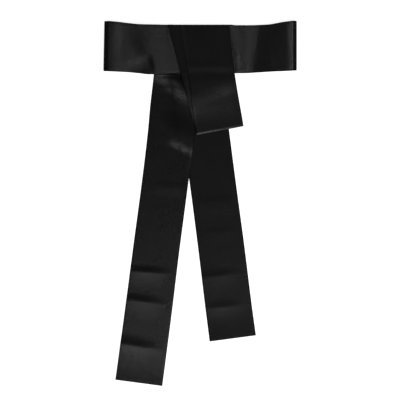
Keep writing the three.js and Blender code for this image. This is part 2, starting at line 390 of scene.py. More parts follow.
@dataclass
class Surface:
    """The middle of a stretch of cloth, by stations along it and lanes across it.

    The outer side is the one that (along x across) points to. The rub says how far it is worn.
    """

    middle: Array
    across: Array
    rub: Union[Array, float] = 0.0

    @property
    def along(self) -> Array:
        """Distance of each station from the first one.

        Returns:
            Rising distances down the middle lane, in millimetres.
        """
        line = self.middle[:, self.middle.shape[1] // 2]
        steps = np.linalg.norm(np.diff(line, axis=0), axis=1)
        return np.concatenate([[0.0], np.cumsum(steps)])

    @property
    def normals(self) -> Array:
        """Directions that the outer side faces.

        Returns:
            Unit normals, one for each point of the middle surface.
        """
        along = np.gradient(self.middle, axis=0)
        across = np.gradient(self.middle, axis=1)
        normal = np.cross(along, across)
        return normal / np.linalg.norm(normal, axis=2, keepdims=True)

    def mesh(self, name: str, cloth: Cloth, origin: Vector) -> bpy.types.Mesh:
        """Close the stretch round its edges, with its flat lengths as UV.

        Args:
            name: Name of the mesh.
            cloth: What it is made of.
            origin: The tie's centre in the frame, in metres.

        Returns:
            A closed mesh in the frame's metres.
        """
        rows, columns, _ = self.middle.shape
        along, across = np.meshgrid(self.along, self.across, indexing="ij")
        ends = np.minimum(along, along[-1:] - along)
        sides = np.minimum(across, self.across[-1] - across)
        inside = np.minimum(ends, sides)
        offset = self.normals * cloth.half_thickness(inside)[:, :, None]
        outer = np.arange(rows * columns).reshape(rows, columns)
        inner = outer.copy()
        hidden = (rows - 2) * (columns - 2)
        inner[1:-1, 1:-1] = (rows * columns + np.arange(hidden)).reshape(rows - 2, columns - 2)
        points = np.concatenate([
            (self.middle + offset).reshape(-1, 3),
            (self.middle - offset)[1:-1, 1:-1].reshape(-1, 3),
        ])
        flat = np.stack([along, across], axis=2) * MM
        flat = np.concatenate([flat.reshape(-1, 2), flat[1:-1, 1:-1].reshape(-1, 2)])
        marks = {EDGE_ATTRIBUTE: inside, RUB_ATTRIBUTE: self.rub + 0.0 * inside}
        faces = np.concatenate([self.quads(outer), self.quads(inner)[:, ::-1]])
        made = bpy.data.meshes.new(name)
        made.from_pydata((points * MM + np.array(origin)).tolist(), [], faces.tolist())
        made.polygons.foreach_set("use_smooth", [True] * len(made.polygons))
        layer = made.uv_layers.new(name=CLOTH_UV)
        layer.data.foreach_set("uv", flat[faces.ravel()].ravel())
        for key, grid in marks.items():
            values = np.concatenate([grid.ravel(), grid[1:-1, 1:-1].ravel()])
            made.attributes.new(key, "FLOAT", "POINT").data.foreach_set("value", values)
        made.validate()
        return made

    @staticmethod
    def quads(index: Array) -> Array:
        """Faces of a grid of vertex numbers, seen from the side that along x across points to."""
        corners = [index[:-1, :-1], index[1:, :-1], index[1:, 1:], index[:-1, 1:]]
        return np.stack([corner.ravel() for corner in corners], axis=1)


class Value:
    """A number in a shader; arithmetic on it adds Math nodes.

    Args:
        shader: The tree it belongs to.
        socket: The output that gives it.
    """

    def __init__(self, shader: "Shader", socket: bpy.types.NodeSocket) -> None:
        self.shader = shader
        self.socket = socket

    def math(self, operation: str, *operands: "Number") -> "Value":
        """Add a Math node.

        Args:
            operation: Its operation.
            *operands: Its inputs in order.

        Returns:
            The result.
        """
        node = self.shader.add("ShaderNodeMath", {"operation": operation}, dict(enumerate(operands)))
        return Value(self.shader, node.outputs[0])

    def __add__(self, other: "Number") -> "Value":
        """Sum."""
        return self.math("ADD", self, other)

    __radd__ = __add__

    def __sub__(self, other: "Number") -> "Value":
        """Difference."""
        return self.math("SUBTRACT", self, other)

    def __rsub__(self, other: "Number") -> "Value":
        """Difference from a plain number."""
        return self.math("SUBTRACT", other, self)

    def __mul__(self, other: "Number") -> "Value":
        """Product."""
        return self.math("MULTIPLY", self, other)

    def __truediv__(self, other: "Number") -> "Value":
        """Quotient."""
        return self.math("DIVIDE", self, other)

    def within(self) -> "Value":
        """The value kept between 0 and 1."""
        return self.math("MAXIMUM", self.math("MINIMUM", self, 1.0), 0.0)

    def wave(self) -> "Value":
        """Sine of the value, moved to lie between 0 and 1."""
        return self.math("SINE", self) * 0.5 + 0.5


Number = Union[Value, float]


class NodeTree:
    """A node tree with one way to add any node.

    Args:
        tree: The tree that is filled.
    """

    def __init__(self, tree: bpy.types.NodeTree) -> None:
        self.tree = tree

    def add(
        self,
        kind: str,
        settings: Optional[dict] = None,
        sockets: Optional[dict] = None,
    ) -> bpy.types.Node:
        """Add a node.

        Args:
            kind: Its type.
            settings: Properties, which are set first.
            sockets: Values or links of its inputs, by name or number.

        Returns:
            The node.
        """
        node = self.tree.nodes.new(kind)
        for name, value in (settings or {}).items():
            setattr(node, name, value)
        for key, value in (sockets or {}).items():
            if isinstance(value, Value):
                value = value.socket
            if isinstance(value, bpy.types.NodeSocket):
                self.tree.links.new(value, node.inputs[key])
            else:
                node.inputs[key].default_value = value
        return node


class Shader(NodeTree):
    """A material's node tree.

    Args:
        name: Name of the material.
    """

    def __init__(self, name: str) -> None:
        self.material = bpy.data.materials.new(name)
        self.material.use_nodes = True
        super().__init__(self.material.node_tree)
        self.tree.nodes.clear()

    def value(self, kind: str, output: str, settings: dict, sockets: Optional[dict] = None) -> Value:
        """Add a node and take one of its outputs as a number."""
        return Value(self, self.add(kind, settings, sockets).outputs[output])

    def scaled(self, vector: bpy.types.NodeSocket, by: tuple[float, float, float]) -> bpy.types.NodeSocket:
        """A vector stretched by three factors."""
        node = self.add("ShaderNodeVectorMath", {"operation": "MULTIPLY"}, {0: vector, 1: by})
        return node.outputs["Vector"]

    def mixed(self, share: Value, first: tuple, second: tuple) -> bpy.types.NodeSocket:
        """A colour between two colours."""
        sockets = {0: share, 6: first, 7: second}
        return self.add("ShaderNodeMix", {"data_type": "RGBA"}, sockets).outputs[2]

    def finish(self, sockets: dict) -> bpy.types.Material:
        """Give the surface a Principled shader.

        Args:
            sockets: Values or links of the shader's inputs.

        Returns:
            The finished material.
        """
        surface = self.add("ShaderNodeBsdfPrincipled", None, sockets)
        self.add("ShaderNodeOutputMaterial", None, {"Surface": surface.outputs["BSDF"]})
        return self.material


@dataclass(frozen=True)
class SatinFinish:
    """Black satin: long floats of thread lie along the strip, so its sheen runs across them."""

    dark: tuple[float, float, float, float] = (0.0040, 0.0040, 0.0041, 1.0)
    worn: tuple[float, float, float, float] = (0.0062, 0.0062, 0.0063, 1.0)
    roughness: float = 0.285
    float_share: float = 0.05
    cloud_share: float = 0.06
    edge_gloss: float = 0.2
    rub_share: float = 0.22
    edge_width_mm: float = 2.0
    floats_per_metre: tuple[float, float, float] = (260.0, 4800.0, 1.0)
    clouds_per_metre: float = 24.0
    thread_pitch: float = 0.00030
    thread_depth: float = 0.000024
    thread_wander: float = 5.0
    bump_filter: float = 0.01
    float_detail: float = 2.0
    cloud_detail: float = 6.0
    cloud_roughness: float = 0.62
    float_tone: float = 0.3
    cloud_tone: float = 0.7
    edge_tone: float = 0.4

    def build(self) -> bpy.types.Material:
        """Make the material.

        Returns:
            A material that reads the cloth's own UV, its distance from the edge and its rub.
        """
        shader = Shader("satin")
        flat = shader.add("ShaderNodeUVMap", {"uv_map": CLOTH_UV}).outputs["UV"]
        place = shader.add("ShaderNodeTexCoord").outputs["Object"]
        across = shader.value("ShaderNodeSeparateXYZ", "Y", {}, {"Vector": flat})
        floats = shader.value(
            "ShaderNodeTexNoise", "Fac", {"noise_dimensions": "2D"},
            {"Vector": shader.scaled(flat, self.floats_per_metre), "Scale": 1.0,
             "Detail": self.float_detail},
        )
        clouds = shader.value(
            "ShaderNodeTexNoise", "Fac", {"noise_dimensions": "3D"},
            {"Vector": place, "Scale": self.clouds_per_metre, "Detail": self.cloud_detail,
             "Roughness": self.cloud_roughness},
        )
        edge = shader.value("ShaderNodeAttribute", "Fac", {"attribute_name": EDGE_ATTRIBUTE})
        rub = shader.value("ShaderNodeAttribute", "Fac", {"attribute_name": RUB_ATTRIBUTE})
        wear = (1.0 - edge / self.edge_width_mm).within()
        tone = (clouds * self.cloud_tone + floats * self.float_tone + wear * self.edge_tone).within()
        rough = (
            self.roughness
            + (floats - NOISE_MIDDLE) * self.float_share
            + (clouds - NOISE_MIDDLE) * self.cloud_share
            - wear * self.edge_gloss
            + rub * self.rub_share
        )
        turn = across * (2.0 * math.pi / self.thread_pitch) + floats * self.thread_wander
        bump = shader.add(
            "ShaderNodeBump", None,
            {"Strength": 1.0, "Distance": self.thread_depth, "Filter Width": self.bump_filter,
             "Height": turn.wave()},
        )
        return shader.finish({
            "Base Color": shader.mixed(tone, self.dark, self.worn),
            "Roughness": rough,
            "Normal": bump.outputs["Normal"],
        })


@dataclass(frozen=True)
class ThreadFinish:
    """Black sewing thread, twisted from two plies."""

    dark: tuple[float, float, float, float] = (0.010, 0.010, 0.010, 1.0)
    light: tuple[float, float, float, float] = (0.022, 0.022, 0.022, 1.0)
    roughness: float = 0.5
    ply_share: float = 0.2
    plies_per_metre: float = 1800.0
    ply_detail: float = 1.0

    def build(self) -> bpy.types.Material:
        """Make the material.

        Returns:
            A material with the thread's twist as a change of tone.
        """
        shader = Shader("thread")
        place = shader.add("ShaderNodeTexCoord").outputs["Object"]
        twist = shader.value(
            "ShaderNodeTexNoise", "Fac", {"noise_dimensions": "3D"},
            {"Vector": place, "Scale": self.plies_per_metre, "Detail": self.ply_detail},
        )
        return shader.finish({
            "Base Color": shader.mixed(twist, self.dark, self.light),
            "Roughness": self.roughness + (twist - NOISE_MIDDLE) * self.ply_share,
        })


@dataclass(frozen=True)
class TableFinish:
    """Plain white table, lit through from below so that it stays pale."""

    pale: tuple[float, float, float, float] = (0.86, 0.86, 0.86, 1.0)
    paler: tuple[float, float, float, float] = (0.88, 0.88, 0.88, 1.0)
    roughness: float = 0.9
    grains_per_metre: float = 300.0
    grain_detail: float = 2.0
    shine: float = 0.0
    glow_colour: tuple[float, float, float, float] = (1.0, 1.0, 1.0, 1.0)
    glow: float = 0.9

    def build(self) -> bpy.types.Material:
        """Make the material.

        Returns:
            A pale matt material that gives off a little light.
        """
        shader = Shader("table")
        place = shader.add("ShaderNodeTexCoord").outputs["Object"]
        grain = shader.value(
            "ShaderNodeTexNoise", "Fac", {"noise_dimensions": "3D"},
            {"Vector": place, "Scale": self.grains_per_metre, "Detail": self.grain_detail},
        )
        return shader.finish({
            "Base Color": shader.mixed(grain, self.pale, self.paler),
            "Roughness": self.roughness,
            "Specular IOR Level": self.shine,
            "Emission Color": self.glow_colour,
            "Emission Strength": self.glow,
        })


@dataclass
class SashPart:
    """What the sub-assemblies share: the tie's place, the cloth, its finish and the layers."""

    origin: Vector
    satin: bpy.types.Material
    cloth: Cloth = field(default_factory=Cloth)
    layers: Layers = field(default_factory=Layers)

    def add(self, name: str, surface: Surface) -> bpy.types.Object:
        """Make a piece of cloth from its surface.

        Args:
            name: Name of the piece.
            surface: Its middle surface.

        Returns:
            The new object, in the frame.
        """
        piece = bpy.data.objects.new(name, surface.mesh(name, self.cloth, self.origin))
        piece.data.materials.append(self.satin)
        bpy.context.scene.collection.objects.link(piece)
        return piece

    def declare(
        self,
        piece: bpy.types.Object,
        node: str,
        surface: Surface,
        held: Held,
        rests_on: Sequence[str] = (),
        with_pieces: Sequence[bpy.types.Object] = (),
    ) -> None:
        """Fix a piece to the frame and hide the solid that it stands for.

        Args:
            piece: The piece of cloth.
            node: The solid that it stands for.
            surface: Its middle surface, which gives its flat size; it is not used.
            held: How it is held; it is not used.
            rests_on: Nodes that it lies on; it is not used.
            with_pieces: Sewing that belongs to it; it is not used.
        """
        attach(piece, BODY)
        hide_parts(node)


@dataclass
class WaistLoop(SashPart):
    """The loop round the waist, pressed flat, with a rounded fold at each end."""

    span: float = 333.6
    width: float = 84.0
    end_reach: float = 7.0
    left_rise: float = 10.4
    right_rise: float = 11.4
    end_point: float = 1.5
    end_round: float = 0.4
    return_length: float = 20.0
    seam_gap: float = 0.02
    back_inset: float = 0.8
    back_top: float = 42.0
    back_shows_from: float = -106.0
    back_shows_to: float = 64.0
    back_shows_fade: float = 10.0
    seam_x: float = 6.0
    left_fade: float = 24.0
    right_fade: float = 10.0
    lean_near: float = -0.16
    lean_far: float = 0.14
    lean_from: float = 62.0
    lean_to: float = 95.0
    straight_from: float = 118.0
    straight_to: float = 150.0
    end_slant: float = 0.019
    left_edges: tuple[EdgeRow, ...] = (
        EdgeRow(-159.0, 48.2, -38.9, 10.0),
        EdgeRow(-151.0, 47.5, -39.2, 9.75),
        EdgeRow(-145.0, 47.0, -39.5, 9.5),
        EdgeRow(-124.0, 44.5, -40.6, 8.85),
        EdgeRow(-104.0, 42.7, -42.5, 8.45),
        EdgeRow(-88.0, 42.3, -44.2, 8.1),
        EdgeRow(-70.0, 42.0, -43.7, 7.65),
        EdgeRow(-60.0, 41.6, -43.2, 7.42),
        EdgeRow(-54.0, 41.0, -42.9, 7.3),
        EdgeRow(-46.0, 40.2, -42.7, 7.15),
        EdgeRow(-34.0, 39.2, -42.6, 7.0),
        EdgeRow(6.0, 38.6, -42.4, 7.0),
    )
    left_dip: Wave = Wave(
        line=(
            LineRow(-44.0, -80.0),
            LineRow(-36.0, -82.0),
            LineRow(-23.0, -86.0),
            LineRow(-10.0, -96.0),
            LineRow(-1.0, -104.0),
            LineRow(15.0, -111.0),
            LineRow(33.0, -114.0),
            LineRow(50.0, -115.0),
        ),
        section=(
            HeightRow(-60.0, 0.0),
            HeightRow(-46.0, -0.18),
            HeightRow(-36.0, -0.34),
            HeightRow(-28.0, -0.52),
            HeightRow(-17.0, -0.8),
            HeightRow(-11.0, -0.84),
            HeightRow(-4.0, -0.69),
            HeightRow(4.0, -0.4),
            HeightRow(10.0, -0.17),
            HeightRow(16.0, -0.05),
            HeightRow(24.0, 0.0),
        ),
        fade=34.0,
        top_fade=36.0,
    )
    left_dent: Fold = Fold(-90.5, -27.0, -74.0, 21.0, 11.5, 50.0, -1.25)
    right_edges: tuple[EdgeRow, ...] = (
        EdgeRow(6.0, 38.6, -42.4, 7.0),
        EdgeRow(24.0, 38.6, -42.4, 6.9),
        EdgeRow(34.0, 38.8, -42.4, 6.0),
        EdgeRow(42.0, 39.6, -42.4, 4.85),
        EdgeRow(49.0, 40.6, -42.4, 4.05),
        EdgeRow(54.0, 41.1, -42.3, 4.0),
        EdgeRow(59.0, 41.1, -42.3, 4.15),
        EdgeRow(64.0, 41.0, -42.3, 4.0),
        EdgeRow(69.0, 41.0, -42.2, 3.91),
        EdgeRow(74.0, 41.0, -42.2, 3.93),
        EdgeRow(80.0, 40.9, -42.1, 3.91),
        EdgeRow(88.0, 41.0, -41.7, 3.83),
        EdgeRow(94.0, 41.1, -41.3, 3.87),
        EdgeRow(98.0, 41.3, -41.0, 4.1),
        EdgeRow(104.0, 41.5, -40.7, 4.78),
        EdgeRow(110.0, 41.8, -40.3, 5.6),
        EdgeRow(118.0, 42.2, -39.8, 6.72),
        EdgeRow(131.0, 44.3, -39.1, 8.5),
        EdgeRow(142.0, 46.4, -38.8, 9.9),
        EdgeRow(150.5, 47.5, -38.35, 10.78),
        EdgeRow(153.0, 47.8, -38.25, 10.9),
        EdgeRow(156.0, 48.2, -38.1, 10.97),
        EdgeRow(159.0, 48.7, -37.9, 11.0),
    )

    @property
    def crest(self) -> float:
        """Place along x where the front starts to turn into its end fold."""
        return (self.span - self.layers.cloth) / 2.0 - self.end_reach

    def edges(self, side: Side) -> Track:
        """Edges of one front stretch."""
        return Track(self.left_edges if side is Side.LEFT else self.right_edges)

    def half_rise(self, side: Side) -> float:
        """Half the height of one end fold, between the middles of its two layers."""
        return ((self.left_rise if side is Side.LEFT else self.right_rise) - self.layers.cloth) / 2.0

    def route(self, side: Side) -> tuple[Array, Array]:
        """Stations of a front stretch, from the knot round its end fold and a little way back.

        Args:
            side: The side of the knot.

        Returns:
            Their places along x, before the fold bulges, and how far the cloth has turned there.
        """
        sign = side.value
        start = self.seam_x + sign * self.layers.clear / 2.0
        run = abs(sign * self.crest - start)
        arc = math.pi * math.sqrt((self.half_rise(side) ** 2 + self.end_reach**2) / 2.0)
        front = self.cloth.lanes(2.0 * run)
        front = front[front < run]
        roll = run + arc * np.linspace(0.0, 1.0, round(arc / self.cloth.roll_step))
        back = self.cloth.lanes(2.0 * self.return_length)
        back = run + arc + back[back > self.return_length] - self.return_length
        way = np.concatenate([front, roll, back])
        x_flat = np.where(way < run, start + sign * way, sign * self.crest)
        x_flat = np.where(way > run + arc, sign * (self.crest - (way - run - arc)), x_flat)
        return x_flat, math.pi * np.clip((way - run) / arc, 0.0, 1.0)

    def height(self, side: Side, x: Array, y: Array) -> Array:
        """Height of a front stretch, up to where its end fold starts.

        Args:
            side: The side of the knot.
            x: Places along the waist.
            y: Places from the tails to the waist.

        Returns:
            The height of its middle surface, of the same shape.
        """
        loose = self.cloth.ease(x, y)
        if side is Side.LEFT:
            height = self.edges(side).read(x)[2]
            loose = lifted((self.left_dip, self.left_dent), x, y) + loose
        else:
            far = smooth((x - self.lean_from) / (self.lean_to - self.lean_from))
            straight = smooth((x - self.straight_from) / (self.straight_to - self.straight_from))
            lean = blend(self.lean_near, self.lean_far, far) * (1.0 - straight)
            height = self.edges(side).read(x - lean * y)[2]
        reach = self.left_fade if side is Side.LEFT else self.right_fade
        crest_height = self.layers.cloth / 2.0 + 2.0 * self.half_rise(side)
        return blend(crest_height, height + loose, smooth((self.crest - np.abs(x)) / reach))

    def front(self, side: Side) -> Surface:
        """Front stretch from the knot to one side, round its end fold and a little way back.

        Args:
            side: The side of the knot.

        Returns:
            Its middle surface, outer side up on the front.
        """
        sign = side.value
        x_flat, turn = self.route(side)
        lanes = self.cloth.lanes(self.width)
        share = lanes / self.width
        top, bottom, _ = (column[:, None] for column in self.edges(side).read(x_flat))
        inset = self.back_inset * turn[:, None] / math.pi
        x = np.repeat(x_flat[:, None], len(lanes), axis=1)
        y = blend(bottom + inset, top - inset, 1.0 - share if sign < 0 else share)
        pointed = (np.square(np.cos(turn)) + self.end_round**2) / (1.0 + self.end_round**2)
        bend = np.cos(turn) * pointed ** ((self.end_point - 1.0) / 2.0)
        rolled = self.layers.cloth / 2.0 + self.half_rise(side) * (1.0 + bend)[:, None]
        z = np.where(turn[:, None] > 0.0, rolled, self.height(side, x, y))
        x = x + sign * self.end_reach * (np.abs(np.sin(turn)) ** self.end_point)[:, None]
        return Surface(np.stack([self.slanted(x, y), y, z], axis=2), lanes)

    def slanted(self, x: Array, y: Array) -> Array:
        """Places along x, with the left end turned a little out of square.

        Args:
            x: Places along the waist.
            y: Places from the tails to the waist.

        Returns:
            The places along the waist, moved the more the nearer they are to the left end.
        """
        share = smooth((-x - self.lean_from) / (self.crest - self.lean_from))
        return x + self.end_slant * y * share

    def back(self) -> Surface:
        """Back stretch, flat on the table between the two end folds.

        Returns:
            Its middle surface, outer side down on the table.
        """
        end = self.crest - self.return_length - self.seam_gap
        lanes = self.cloth.lanes(self.width)
        x_flat = self.cloth.lanes(2.0 * end)[::-1] - end
        left = self.edges(Side.LEFT).read(x_flat)
        right = self.edges(Side.RIGHT).read(x_flat)
        near_left = x_flat < self.seam_x
        top = np.where(near_left, left[0], right[0])[:, None] - self.back_inset
        bottom = np.where(near_left, left[1], right[1])[:, None] + self.back_inset
        inside = np.minimum(x_flat - self.back_shows_from, self.back_shows_to - x_flat)
        shows = smooth(inside / self.back_shows_fade)[:, None]
        top = blend(top, np.maximum(top, self.back_top), shows)
        y = blend(bottom, top, lanes / self.width)
        x = np.repeat(x_flat[:, None], len(lanes), axis=1)
        z = np.full_like(x, self.layers.cloth / 2.0)
        return Surface(np.stack([self.slanted(x, y), y, z], axis=2), lanes)

    def build(self) -> None:
        back = self.back()
        self.declare(self.add("waist_back_satin", back), "waist_back", back, Held.LAID)
        for side, node in ((Side.LEFT, "waist_left"), (Side.RIGHT, "waist_right")):
            front = self.front(side)
            below = ["waist_back", "tail_left", "tail_right"]
            self.declare(self.add(f"{node}_satin", front), node, front, Held.FOLDED, below)


class FoldEnd(NamedTuple):
    """One end of the drop loop's bottom fold, and how far the cloth bends down to it."""

    x: float
    y: float
    radius: float
    lip: float


class TopEdge(NamedTuple):
    """The two ends of a layer's line along the top roll, and how far its left end rises."""

    left: float
    right: float
    rise: float


@dataclass
class DropLoop(SashPart):
    """The short loop of the half bow, which rolls over the waist and folds at the bottom."""

    waist: Optional[WaistLoop] = None
    width: float = 83.0
    top_y: float = 38.4
    top_from: float = 6.0
    top_to: float = 22.0
    leg: float = 20.0
    fold_left: FoldEnd = FoldEnd(-5.7, -149.7, 1.5, 0.54)
    fold_right: FoldEnd = FoldEnd(74.9, -133.9, 0.75, 0.24)
    lip_reach: float = 3.0
    lip_bend: float = 1.4
    lip_close: float = 6.0
    fold_rub: float = 0.95
    right_bow: float = 1.9
    rest_height: float = 1.8
    fold_ease: float = 0.75
    front_top: TopEdge = TopEdge(-33.4, 49.6, 0.0)
    rear_top: TopEdge = TopEdge(-55.8, 28.9, 2.0)
    waist_layer: int = 5
    handled: float = 0.13
    handled_low: float = 0.14
    low_from: float = 134.0
    low_to: float = 158.0
    lean: float = 0.42
    lean_from: float = 76.0
    lean_to: float = 126.0
    front_heights: tuple[HeightRow, ...] = (
        HeightRow(0.0, 9.6),
        HeightRow(60.0, 9.65),
        HeightRow(69.0, 9.75),
        HeightRow(82.0, 9.2),
        HeightRow(94.0, 9.4),
        HeightRow(104.0, 9.15),
        HeightRow(112.0, 8.6),
        HeightRow(120.0, 7.8),
        HeightRow(130.0, 6.75),
        HeightRow(142.0, 5.8),
        HeightRow(155.0, 5.0),
        HeightRow(165.0, 4.5),
        HeightRow(195.0, 3.4),
    )
    rear_heights: tuple[HeightRow, ...] = (
        HeightRow(0.0, 8.3),
        HeightRow(90.0, 8.3),
        HeightRow(100.0, 7.8),
        HeightRow(110.0, 6.95),
        HeightRow(120.0, 5.95),
        HeightRow(135.0, 4.7),
        HeightRow(150.0, 3.6),
        HeightRow(170.0, 2.7),
        HeightRow(195.0, 1.9),
    )
    front_curls: tuple[Curl, ...] = (
        Curl(24.0, 66.0, 9.0, -0.65, 0.9),
        Curl(148.0, 46.0, 4.0, 0.4, 1.6),
    )
    rear_curls: tuple[Curl, ...] = (
        Curl(144.0, 34.0, 4.0, 0.4, 1.5),
    )
    rear_folds: tuple[Fold, ...] = (
        Fold(-28.0, -41.0, -20.0, 9.0, 3.0, 5.0, 0.22),
        Fold(-23.0, -52.0, -55.0, 10.0, 3.0, 5.0, 0.2),
    )

    @property
    def lanes(self) -> Array:
        """Places across the loop."""
        return self.cloth.lanes(self.width)

    @property
    def waist_height(self) -> float:
        """Middle of the waist layer that the loop rolls over."""
        return self.layers.middle(self.waist_layer)

    def fold_line(self, share: Array) -> tuple[Array, Array, Array]:
        """The line that the bottom fold turns about.

        Args:
            share: Places across, 0 at the left and 1 at the right.

        Returns:
            The line's points, the direction into the loop and the fold's radius.
        """
        left = np.array([self.fold_left.x, self.fold_left.y])
        right = np.array([self.fold_right.x, self.fold_right.y])
        line = (right - left) / np.linalg.norm(right - left)
        inward = np.array([-line[1], line[0]])
        radius = blend(self.fold_left.radius, self.fold_right.radius, share)
        centre = blend(left, right, share[:, None])
        return centre + inward * (radius + self.layers.cloth / 2.0)[:, None], inward, radius

    @property
    def drift(self) -> float:
        """How far the loop moves to the right for each millimetre down."""
        return (self.fold_left.x - self.front_top.left) / (self.top_y - self.fold_left.y)

    def sag(self, x: Array, y: Array) -> Array:
        """How far the loop follows the waist's right front down.

        Args:
            x: Places along the waist.
            y: Places from the tails to the waist.

        Returns:
            The drop below the waist's middle, of the same shape.
        """
        over = x - self.drift * np.maximum(0.0, self.top_y - y)
        return self.waist_height - self.waist.edges(Side.RIGHT).read(over)[2]

    def roll_line(self, line: TopEdge) -> Array:
        """Where a layer turns over the waist's top edge, by its lanes."""
        lower = smooth((self.lanes - self.top_from) / (self.top_to - self.top_from))
        return self.top_y + line.rise * (1.0 - lower)

    def top(self, line: TopEdge, layer: int) -> Array:
        """A layer's leg behind the waist and its roll over the top edge.

        Args:
            line: Ends of its line along the roll.
            layer: How many layers lie below it.

        Returns:
            Stations of its middle surface, down to the roll's end on the front.
        """
        radius = self.layers.middle(layer) - self.waist_height
        arc = math.pi * radius
        behind = self.cloth.lanes(2.0 * self.leg)
        behind = self.leg - behind[behind < self.leg]
        turn = np.linspace(math.pi, 0.0, round(arc / self.cloth.roll_step) + 1)
        behind = np.concatenate([behind, np.zeros_like(turn)])[:, None]
        turn = np.concatenate([np.full(len(behind) - len(turn), math.pi), turn])[:, None]
        across = blend(line.left, line.right, self.lanes / self.width)[None, :]
        x = across - behind * self.drift
        y = self.roll_line(line)[None, :] - behind + radius * np.sin(turn)
        sag = self.sag(across, self.roll_line(line)[None, :])
        z = self.waist_height - sag + radius * np.cos(turn)
        return np.stack([x, y, z], axis=2)

    def layer(
        self,
        line: TopEdge,
        heights: Sequence[HeightRow],
        curls: Sequence[Curl],
        along: Array,
    ) -> Array:
        """A layer from the top roll to the bottom fold.

        Args:
            line: Ends of its line along the roll.
            heights: Its height by the distance from the roll.
            curls: How its left edge turns up.
            along: Stations, 0 at the roll and 1 at the fold.

        Returns:
            Stations of its middle surface.
        """
        share = self.lanes / self.width
        centre, _, _ = self.fold_line(share)
        start = np.stack([blend(line.left, line.right, share), self.roll_line(line)], axis=1)
        length = np.linalg.norm(centre - start, axis=1)
        place = blend(start[None], centre[None], along[:, None, None])
        x = place[:, :, 0] - self.right_bow * share * hump(2.0 * along - 1.0)[:, None]
        way = along[:, None] * length
        lean = self.lean * smooth((way - self.lean_from) / (self.lean_to - self.lean_from))
        leaned = way + lean * (self.lanes - self.width / 2.0)
        low, high = heights[-1].height, heights[0].height
        follow = 1.0 - self.sag(x, place[:, :, 1]) / (high - low)
        z = low + (Track(heights).read(leaned)[0] - low) * follow
        z = z + curled(curls, way, self.lanes + 0.0 * way)
        return np.stack([x, place[:, :, 1], z], axis=2)

    def rub(self, surface: Array, curls: Sequence[Curl]) -> Array:
        """How far a layer is rubbed, by the place of each point below the top roll.

        Args:
            surface: Stations of its middle surface.
            curls: How its left edge turns up and is rubbed.

        Returns:
            The rub of each point, 0 where the cloth is new.
        """
        way = self.top_y - surface[:, :, 1]
        low = smooth((way - self.low_from) / (self.low_to - self.low_from))
        return self.handled + self.handled_low * low + rubbed(curls, way, self.lanes + 0.0 * way)

    def stations(self, end: float, fine_end: bool) -> Array:
        """Stations of a layer below its top roll.

        Args:
            end: The last station, as a share of the way to the bottom fold.
            fine_end: Whether they come close together towards the end.

        Returns:
            Rising shares of the way, up to the end.
        """
        length = self.top_y - self.fold_left.y
        if fine_end:
            way = self.cloth.lanes(2.0 * length * end) - length * end
            return way[way > 0.0] / length
        count = round(length / self.cloth.step)
        return end * np.arange(1, count + 1) / count

    def front(self) -> Surface:
        """Front layer with its bottom fold.

        Returns:
            Its middle surface, outer side up.
        """
        share = self.lanes / self.width
        centre, inward, radius = self.fold_line(share)
        lip = blend(self.fold_left.lip, self.fold_right.lip, share)
        axis = self.rest_height + radius
        length = self.top_y - self.fold_left.y
        close = np.arange(0.0, self.lip_close, self.cloth.roll_step)[::-1]
        along = self.stations(1.0, False)
        along = np.concatenate([along[along < 1.0 - close[0] / length], 1.0 - close / length])
        flat = self.layer(self.front_top, self.front_heights, self.front_curls, along)
        ease = smooth((along - self.fold_ease) / (1.0 - self.fold_ease))[:, None]
        bent = np.clip(1.0 - (1.0 - along) * length / self.lip_reach, 0.0, 1.0) ** self.lip_bend
        flat[:, :, 2] = blend(flat[:, :, 2], axis + radius + lip, ease) - lip * bent[:, None]
        arc = math.pi * max(self.fold_left.radius, self.fold_right.radius)
        under = math.pi * self.cloth.lanes(2.0 * arc, self.cloth.roll_step) / arc - math.pi
        under = under[under > 0.0][:, None]
        roll = centre[None] - inward * (radius * np.sin(under))[:, :, None]
        height = axis + radius * np.cos(under)
        fold = np.concatenate([roll, height[:, :, None]], axis=2)
        top = self.top(self.front_top, self.waist_layer + 2)
        whole = np.concatenate([top, flat, fold])
        rub = self.rub(whole, self.front_curls)
        rub[-len(fold):] = self.fold_rub
        return Surface(whole, self.lanes, rub)

    def rear(self) -> Surface:
        """Rear layer, from behind the waist to just short of the bottom fold.

        Returns:
            Its middle surface, outer side up.
        """
        length = self.top_y - self.fold_left.y
        along = self.stations(1.0 - self.layers.clear / length, True)
        flat = self.layer(self.rear_top, self.rear_heights, self.rear_curls, along)
        flat[:, :, 2] += lifted(self.rear_folds, flat[:, :, 0], flat[:, :, 1])
        top = self.top(self.rear_top, self.waist_layer + 1)
        whole = np.concatenate([top, flat])
        return Surface(whole, self.lanes, self.rub(whole, self.rear_curls))

    def build(self) -> None:
        rear = self.rear()
        below = ["tail_left", "tail_right", "waist_left", "waist_right"]
        self.declare(self.add("loop_rear_satin", rear), "loop_rear", rear, Held.FOLDED, below)
        front = self.front()
        below = ["loop_rear", "tail_left", "tail_right"]
        self.declare(self.add("loop_front_satin", front), "loop_front", front, Held.FOLDED, below)


class Hem(NamedTuple):
    """How far a tail's closed end turns up, and from how far in."""

    rise: float
    reach: float


